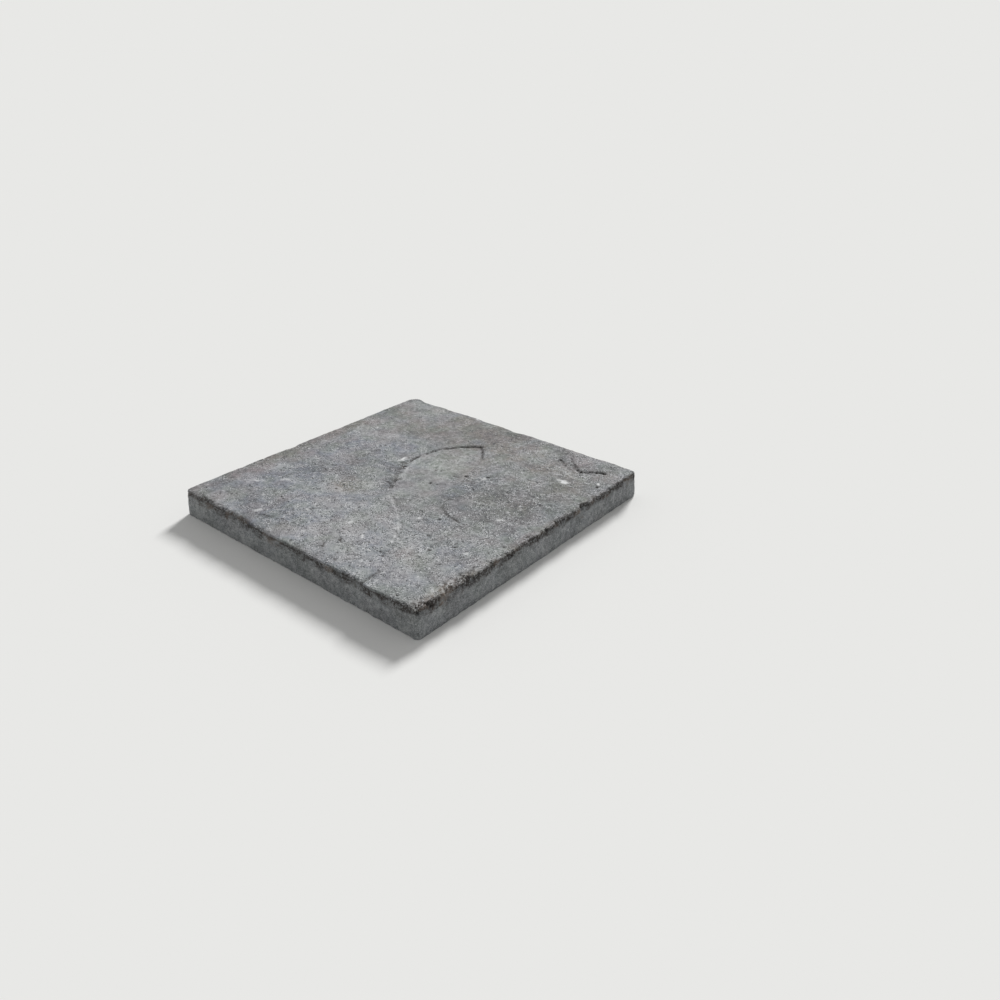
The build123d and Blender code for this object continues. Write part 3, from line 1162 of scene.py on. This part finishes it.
def soil_and_joint_shadow_marks(slab, face):
    """Where soil and the painted shadow of the joint sit on the arris and under it, and where stones stand
    bare in the rubble.
    """
    below = np.clip(slab.face_height - slab.z, 0, None)
    fringe = below + 2.5 * wander(slab.places, size=11, seed=33, octaves=3)
    # Down the sides, a dark band under the arris: soil, and the painted shadow of the joint.
    line = smoothstep(0.4, 2.2, below) * (1 - smoothstep(3.5, 15, fringe))
    rim = smoothstep(3.5, 0.5, slab.distance + 2.2 * face.ruffle) * smoothstep(*SOIL_AND_SHADOW_BAND, slab.x)
    # The bites, the gaps in the rubble and the rounded arris are darkened with soil and painted shade.
    bitten = 1.2 * smoothstep(1.4, 3.2, slab.bite) * smoothstep(9, 2, slab.distance)
    rim = np.maximum(rim, bitten)
    rim = np.maximum(rim, slab.rubble * np.clip(0.7 - 1.2 * face.stones, 0, 1.4))
    bare = smoothstep(0.3, 1.0, face.stones) * np.clip(1.4 * slab.rubble, 0, 1)
    rim = rim * (1 - 0.85 * bare) + 0.6 * smoothstep(0.6, 2.2, slab.arris_drop)
    return np.clip(np.where(slab.on_face, rim, 1.2 * line), 0, 1.2), bare


def hollow_soil_and_shade_marks(slab, face):
    """Soil and painted shade in the hollows: under rims, in pits and grooves, and in the blow-holes."""
    # The hollows are darkened with soil and with painted shade.
    hollows = 0.4 * face.feet + face.pits / 0.9 + 1.1 * face.groove_soil
    hollows = hollows + 0.6 * face.ledge_foot * face.swing
    below = np.clip(slab.face_height - slab.z, 0, None)
    hollows *= np.where(slab.on_face, 1, smoothstep(6, 1, below))
    return np.clip(hollows + 0.5 * slab.holes, 0, 1.5)


def surface_marks(slab, face):
    """What the material is told about each point, by the names in CONCRETE_MARKS."""
    on_face = slab.on_face
    stains = 0.45 * wander(slab.places, size=24, seed=41, octaves=4)
    marks = {name: blots(slab.plan, smudges, stains) for name, smudges in STAINS.items()}
    marks["soil"], bare_stones = soil_and_joint_shadow_marks(slab, face)
    # The lips get a painted highlight here, besides the lime bloom and the bare stones.
    marks["bloom_and_highlight"] = np.clip(marks["bloom_and_highlight"] + 1.5 * face.lip + 1.6 * bare_stones, 0, 2)
    marks["flake"] = face.flake
    marks["chip"] = face.chips
    for name in (*STAINS, "flake", "chip"):
        marks[name] = marks[name] * on_face
    marks["coarse"] = np.where(on_face, face.coarse - 0.6 * face.flake + 0.8 * slab.rubble, CAST_CALM)
    marks["hollow_soil_and_shade"] = hollow_soil_and_shade_marks(slab, face)
    marks["riven"] = on_face
    return marks


def rive(mesh_data, shape, relief):
    """Moves the block's points to the slab's riven face, worn arris and cast sides, and marks them."""
    slab = spread_points(mesh_data, shape, relief)
    draw_outline_in(slab, relief)
    face = cleft_face(slab, relief)
    lean_sides(slab, raise_face(slab, face, relief), relief)
    final = np.stack([
        np.clip(slab.x, -slab.limit_x, slab.limit_x) * MM,
        np.clip(slab.y, -slab.limit_y, slab.limit_y) * MM,
        np.clip(slab.z, 0, slab.top) * MM,
    ], axis=1)
    mesh_data.vertices.foreach_set("co", final.ravel())
    mesh_data.update()
    for name, values in surface_marks(slab, face).items():
        layer = mesh_data.attributes.new(name, "FLOAT", "POINT")
        layer.data.foreach_set("value", values.astype(np.float32))


def add(tree, kind, inputs=(), out=0, **settings):
    """Adds a node with its settings, sets or links its inputs, and gives one of its outputs."""
    node = tree.nodes.new(kind)
    for name, value in settings.items():
        setattr(node, name, value)
    for name, value in dict(inputs).items():
        if isinstance(value, bpy.types.NodeSocket):
            tree.links.new(value, node.inputs[name])
        else:
            node.inputs[name].default_value = value
    return node.outputs[out] if node.outputs else None


# Sockets of the Mix node, which has several of each name: its share, and the two
# numbers or colours that it mixes. Colours come out of its third output.
SHARE = 0
NUMBER_A = 2
NUMBER_B = 3
COLOUR_A = 6
COLOUR_B = 7
MIX_COLOURS = {"out": 2, "data_type": "RGBA"}

# Noises of the concrete: width of a hump in millimetres, detail, roughness, the part
# of the noise that is used, and the values that its ends get. The real sand is finer
# than 1 mm, and it is drawn as coarse as it needs to be to show.
CONCRETE_NOISES = {
    "cool": (48, 2, 0.4, 0.5, 0.36, 0.0, 0.5),
    "warm": (48, 2, 0.4, 0.5, 0.66, 0.0, 0.4),
    "green": (33, 1, 0.5, 0.5, 0.66, 0.0, 0.5),
    "pink": (33, 1, 0.5, 0.5, 0.36, 0.0, 0.42),
    "broad": (27, 4, 0.6, 0.3, 0.7, -0.35, 0.48),
    "patchy": (6, 3, 0.65, 0.3, 0.7, -1.0, 1.0),
    "sand": (1.1, 1, 0.5, 0.25, 0.75, -1.3, 1.2),
    "cluster": (4.1, 1, 0.5, 0.38, 0.68, 0.1, 2.4),
    "gather": (13, 2, 0.5, 0.4, 0.6, 0.3, 1.3),
    "crumbled": (2.6, 3, 0.7, 0.36, 0.56, 0.2, 1.0),
    "sandy": (31, 2, 0.5, 0.52, 0.66, 0.0, 0.8),
}

# Width of a single grain and distance between the pores, in millimetres.
GRAIN_WIDTH = 2.0
PORE_SPACING = 4.2

# Marks that the slab's mesh carries for its material.
CONCRETE_MARKS = (
    "riven", "hollow_soil_and_shade", "flake", "chip", "coarse", "brown", "dark", "bloom_and_highlight", "lilac", "moss", "rose", "soil",
)


def concrete_noises(tree, place):
    """The noises of the concrete, by name."""
    pattern = {}
    for name, (size, detail, rough, low, high, to_low, to_high) in CONCRETE_NOISES.items():
        humps = add(
            tree, "ShaderNodeTexNoise",
            {"Vector": place, "Scale": 1 / (size * MM), "Detail": detail, "Roughness": rough},
        )
        pattern[name] = add(
            tree, "ShaderNodeMapRange",
            {"Value": humps, "From Min": low, "From Max": high, "To Min": to_low, "To Max": to_high},
        )
    return pattern


def tinted_paste(tree, finish, mark, pattern):
    """Colour of the paste with its tints, as wide as a hand, and fainter on the cast sides."""
    colour = (*finish.paste, 1)
    spread = add(tree, "ShaderNodeMapRange", {"Value": mark["riven"], "To Min": 0.25, "To Max": 1.0})
    tints = (
        (finish.lilac, pattern["cool"], mark["lilac"], 0.75),
        (finish.brown, pattern["warm"], mark["brown"], 0.8),
        (finish.moss, pattern["green"], mark["moss"], 0.8),
        (finish.rose, pattern["pink"], mark["rose"], 0.9),
    )
    for tint, wide, stain, strength in tints:
        wide = add(tree, "ShaderNodeMath", {0: wide, 1: spread}, operation="MULTIPLY")
        share = add(tree, "ShaderNodeMath", {0: stain, 1: strength, 2: wide}, operation="MULTIPLY_ADD")
        colour = add(
            tree, "ShaderNodeMix", {SHARE: share, COLOUR_A: colour, COLOUR_B: (*tint, 1)}, **MIX_COLOURS
        )
    return colour


def grain_speckle(tree, grains, mark, pattern):
    """Light and dark of the grains, with finer sand between them.

    They lie in clusters on the riven face, evenly on the cast sides, and show
    most where the concrete is coarse.
    """
    grain = add(tree, "ShaderNodeSeparateColor", {0: grains})
    tone = add(tree, "ShaderNodeMath", {0: grain, 1: 1.6, 2: -0.8}, operation="MULTIPLY_ADD")
    speckle = add(tree, "ShaderNodeMath", {0: pattern["sand"], 1: 1.9, 2: tone}, operation="MULTIPLY_ADD")
    worn = add(
        tree, "ShaderNodeMapRange",
        {"Value": mark["coarse"], "From Min": CALMEST, "From Max": 1.0, "To Min": 0.35, "To Max": 1.35},
    )
    whole = add(tree, "ShaderNodeMath", {0: mark["lilac"], 1: -0.25, 2: 1.0}, operation="MULTIPLY_ADD")
    clustered, gathered = (
        add(tree, "ShaderNodeMix", {SHARE: mark["riven"], NUMBER_A: 0.9, NUMBER_B: pattern[name]})
        for name in ("cluster", "gather")
    )
    for strength in (clustered, gathered, worn, whole):
        speckle = add(tree, "ShaderNodeMath", {0: speckle, 1: strength}, operation="MULTIPLY")
    return speckle


def shaded(tree, finish, colour, speckle, mark, pattern):
    """The colour made lighter and darker, from broad smudges down to the grains, with painted highlights on
    the lips.
    """
    shade = add(tree, "ShaderNodeMath", {0: speckle, 1: pattern["broad"]}, operation="ADD")
    layers = ((pattern["patchy"], 0.55), (mark["dark"], -0.6), (mark["bloom_and_highlight"], 0.5), (mark["flake"], 0.16))
    for layer, strength in layers:
        shade = add(tree, "ShaderNodeMath", {0: layer, 1: strength, 2: shade}, operation="MULTIPLY_ADD")
    for end, tone in ((1.95, finish.pale), (-1.45, finish.dark)):
        share = add(tree, "ShaderNodeMapRange", {"Value": shade, "From Min": 0.0, "From Max": end})
        colour = add(
            tree, "ShaderNodeMix", {SHARE: share, COLOUR_A: colour, COLOUR_B: (*tone, 1)}, **MIX_COLOURS
        )
    return colour


def pores_and_flecks(tree, place, mark):
    """Open pores about 1.5 mm wide, most where the face is coarse, and a few pale grains as wide."""
    near = add(
        tree, "ShaderNodeTexVoronoi", {"Vector": place, "Scale": 1 / (PORE_SPACING * MM)}, out="Distance"
    )
    cells = near.node.outputs["Color"]
    disc = add(tree, "ShaderNodeMapRange", {"Value": near, "From Min": 0.27, "From Max": 0.14})
    open_face = add(
        tree, "ShaderNodeMapRange",
        {"Value": mark["coarse"], "From Min": -0.2, "From Max": 1.0, "To Min": 0.3, "To Max": 1.0},
    )
    pore = add(tree, "ShaderNodeSeparateColor", {0: cells}, out="Red")
    pore = add(tree, "ShaderNodeMapRange", {"Value": pore, "From Min": 0.45, "From Max": 0.5})
    fleck = add(tree, "ShaderNodeSeparateColor", {0: cells}, out="Green")
    fleck = add(tree, "ShaderNodeMapRange", {"Value": fleck, "From Min": 0.86, "From Max": 0.9})
    pore = add(tree, "ShaderNodeMath", {0: disc, 1: pore}, operation="MULTIPLY")
    pore = add(tree, "ShaderNodeMath", {0: pore, 1: open_face}, operation="MULTIPLY")
    fleck = add(tree, "ShaderNodeMath", {0: disc, 1: fleck}, operation="MULTIPLY")
    return pore, fleck


def coated(tree, finish, colour, pore, fleck, mark, pattern):
    """The colour under flecks and chips, and under soil and painted shade, with dry jointing sand here and
    there.
    """
    soil = (*finish.soil, 1)
    chip = (*finish.chip, 1)
    sand = (*finish.sand, 1)
    earth_and_shadow = add(
        tree, "ShaderNodeMix", {SHARE: pattern["sandy"], COLOUR_A: soil, COLOUR_B: sand}, **MIX_COLOURS
    )
    soil_and_shade_in_hollows, soil_and_shadow_on_arris = (
        add(tree, "ShaderNodeMath", {0: mark[name], 1: pattern["crumbled"]}, operation="MULTIPLY")
        for name in ("hollow_soil_and_shade", "soil")
    )
    # The soil colour is painted into the pores and hollows as soil and shade, and along the arris as soil
    # and the joint's shadow.
    coats = (
        (fleck, 0.55, chip),
        (pore, 0.85, soil),
        (soil_and_shade_in_hollows, 0.85, soil),
        (soil_and_shadow_on_arris, 1.0, earth_and_shadow),
        (mark["chip"], 1.0, chip),
    )
    for cover, strength, coat in coats:
        share = add(tree, "ShaderNodeMath", {0: cover, 1: strength}, operation="MULTIPLY")
        colour = add(
            tree, "ShaderNodeMix", {SHARE: share, COLOUR_A: colour, COLOUR_B: coat}, **MIX_COLOURS
        )
    return colour


def grain_relief(tree, grains, pore, pattern):
    """Bump of the sand, the grains and the pores."""
    apart = grains.node.outputs["Distance"]
    domes = add(
        tree, "ShaderNodeMapRange",
        {"Value": apart, "From Min": 0.0, "From Max": 0.6, "To Min": 1.0, "To Max": 0.0},
    )
    pore_floor = add(tree, "ShaderNodeMath", {0: 1.0, 1: pore}, operation="SUBTRACT")
    normal = add(
        tree, "ShaderNodeBump", {"Height": pattern["sand"], "Strength": 0.6, "Distance": 0.25 * MM}
    )
    for height, strength, rise in ((domes, 0.5, 0.3), (pore_floor, 0.8, 0.6)):
        normal = add(
            tree, "ShaderNodeBump",
            {"Height": height, "Strength": strength, "Distance": rise * MM, "Normal": normal},
        )
    return normal


def weathered_concrete(finish):
    """Cast concrete, weathered: a matt grey of paste and grit, mottled by stains.

    The eye sees salt-and-pepper grains of 1 to 3 mm, soft smudges of brown stain
    and lilac paste as wide as a hand, dark pores and hollows painted with soil and shade,
    and soil with the painted shadow of the joint along the arris.
    """
    material = bpy.data.materials.new("weathered cast concrete")
    material.use_nodes = True
    tree = material.node_tree
    tree.nodes.clear()
    place = add(tree, "ShaderNodeTexCoord", out="Object")
    mark = {}
    for name in CONCRETE_MARKS:
        mark[name] = add(tree, "ShaderNodeAttribute", out="Fac", attribute_name=name)
    pattern = concrete_noises(tree, place)
    grains = add(
        tree, "ShaderNodeTexVoronoi", {"Vector": place, "Scale": 1 / (GRAIN_WIDTH * MM)}, out="Color"
    )
    colour = tinted_paste(tree, finish, mark, pattern)
    speckle = grain_speckle(tree, grains, mark, pattern)
    colour = shaded(tree, finish, colour, speckle, mark, pattern)
    pore, fleck = pores_and_flecks(tree, place, mark)
    colour = coated(tree, finish, colour, pore, fleck, mark, pattern)
    normal = grain_relief(tree, grains, pore, pattern)
    surface = add(
        tree, "ShaderNodeBsdfPrincipled",
        {"Base Color": colour, "Roughness": finish.roughness, "IOR": 1.5, "Normal": normal},
    )
    add(tree, "ShaderNodeOutputMaterial", {"Surface": surface})
    return material


def floor_material(stage):
    """One plain pale colour, matt, for the studio's floor."""
    material = bpy.data.materials.new("studio floor")
    material.use_nodes = True
    shader = material.node_tree.nodes["Principled BSDF"]
    shader.inputs["Base Color"].default_value = (*stage.floor_colour, 1.0)
    shader.inputs["Roughness"].default_value = 0.9
    shader.inputs["Specular IOR Level"].default_value = 0.0
    return material


def studio_floor(scene, stage):
    """A wide flat floor on which the slab lies."""
    mesh = bmesh.new()
    bmesh.ops.create_grid(mesh, x_segments=1, y_segments=1, size=stage.floor_reach)
    data = bpy.data.meshes.new("studio_floor")
    mesh.to_mesh(data)
    mesh.free()
    floor = bpy.data.objects.new("studio_floor", data)
    scene.collection.objects.link(floor)
    data.materials.append(floor_material(stage))


def key_lamp(scene, stage):
    """The soft key light.

    Together with the world's light it gives pi on a level surface, at which
    colours render as they are written.
    """
    key = bpy.data.lights.new("key", "SUN")
    key.angle = stage.key_spread
    key.energy = math.pi * stage.key_share / math.sin(stage.key_height)
    lamp = bpy.data.objects.new("key", key)
    toward = Vector((
        math.cos(stage.key_heading) * math.cos(stage.key_height),
        math.sin(stage.key_heading) * math.cos(stage.key_height),
        math.sin(stage.key_height),
    ))
    lamp.rotation_euler = toward.to_track_quat("Z", "Y").to_euler()
    scene.collection.objects.link(lamp)


def studio_world(scene, stage):
    """White fill light all round, and a backdrop of the floor's colour for the camera alone."""
    world = bpy.data.worlds.new("studio")
    world.use_nodes = True
    scene.world = world
    tree = world.node_tree
    tree.nodes.clear()
    fill = add(tree, "ShaderNodeBackground", {"Color": (1, 1, 1, 1), "Strength": 1 - stage.key_share})
    backdrop = add(tree, "ShaderNodeBackground", {"Color": (*stage.floor_colour, 1), "Strength": 1.0})
    seen = add(tree, "ShaderNodeLightPath", out="Is Camera Ray")
    both = add(tree, "ShaderNodeMixShader", {0: seen, 1: fill, 2: backdrop})
    add(tree, "ShaderNodeOutputWorld", {"Surface": both})


def studio_camera(scene, stage):
    """The camera at the photograph's viewing angle."""
    lens = bpy.data.cameras.new("camera")
    lens.lens = stage.lens
    lens.sensor_width = SENSOR_WIDTH
    lens.clip_start, lens.clip_end = CAMERA_CLIP
    camera = bpy.data.objects.new("camera", lens)
    camera.location = stage.camera_place
    look = Vector(stage.look_at) - Vector(stage.camera_place)
    camera.rotation_euler = look.to_track_quat("-Z", "Y").to_euler()
    scene.collection.objects.link(camera)
    scene.camera = camera


class CastSlab(bpy.types.Operator):
    """Casts the paving slab with its riven face, worn arris and weathered concrete"""

    bl_idname = "paving.cast_slab"
    bl_label = "Cast Slab"

    def execute(self, context):
        scene = context.scene
        mesh = cast_block(scene.slab_shape)
        data = bpy.data.meshes.new("riven_slab")
        mesh.to_mesh(data)
        mesh.free()
        rive(data, scene.slab_shape, scene.slab_relief)
        slab = bpy.data.objects.new("riven_slab", data)
        scene.collection.objects.link(slab)
        data.materials.append(weathered_concrete(scene.slab_finish))
        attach(slab, "root")
        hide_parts("paving_slab")
        return {"FINISHED"}


class SetStage(bpy.types.Operator):
    """Sets the floor, the light and the camera"""

    bl_idname = "paving.set_stage"
    bl_label = "Set Stage"

    def execute(self, context):
        scene = context.scene
        for make in (studio_floor, key_lamp, studio_world, studio_camera):
            make(scene, scene.slab_stage)
        scene.view_settings.view_transform = "Standard"
        return {"FINISHED"}


class PavingPanel(bpy.types.Panel):
    """Sidebar panel of the paving slab"""

    bl_idname = "VIEW3D_PT_paving"
    bl_label = "Paving Slab"
    bl_space_type = "VIEW_3D"
    bl_region_type = "UI"
    bl_category = "Paving"

    def draw(self, context):
        layout = self.layout
        scene = context.scene
        layout.operator(CastSlab.bl_idname)
        layout.operator(SetStage.bl_idname)
        for group in (scene.slab_shape, scene.slab_relief, scene.slab_finish, scene.slab_stage):
            box = layout.box()
            for name in group.__annotations__:
                box.prop(group, name)


GROUPS = {
    "slab_shape": SlabShape,
    "slab_relief": RivenRelief,
    "slab_finish": ConcreteFinish,
    "slab_stage": StudioStage,
}
CLASSES = (*GROUPS.values(), CastSlab, SetStage, PavingPanel)


def register():
    """Registers the classes and hangs the settings on the scene."""
    for item in CLASSES:
        bpy.utils.register_class(item)
    for name, group in GROUPS.items():
        setattr(bpy.types.Scene, name, PointerProperty(type=group))


def unregister():
    """Takes the settings and the classes away again."""
    for name in GROUPS:
        delattr(bpy.types.Scene, name)
    for item in reversed(CLASSES):
        bpy.utils.unregister_class(item)


def main():
    """Makes the slab and its stage."""
    register()
    bpy.ops.paving.cast_slab()
    bpy.ops.paving.set_stage()


if __name__ == "__main__":
    main()
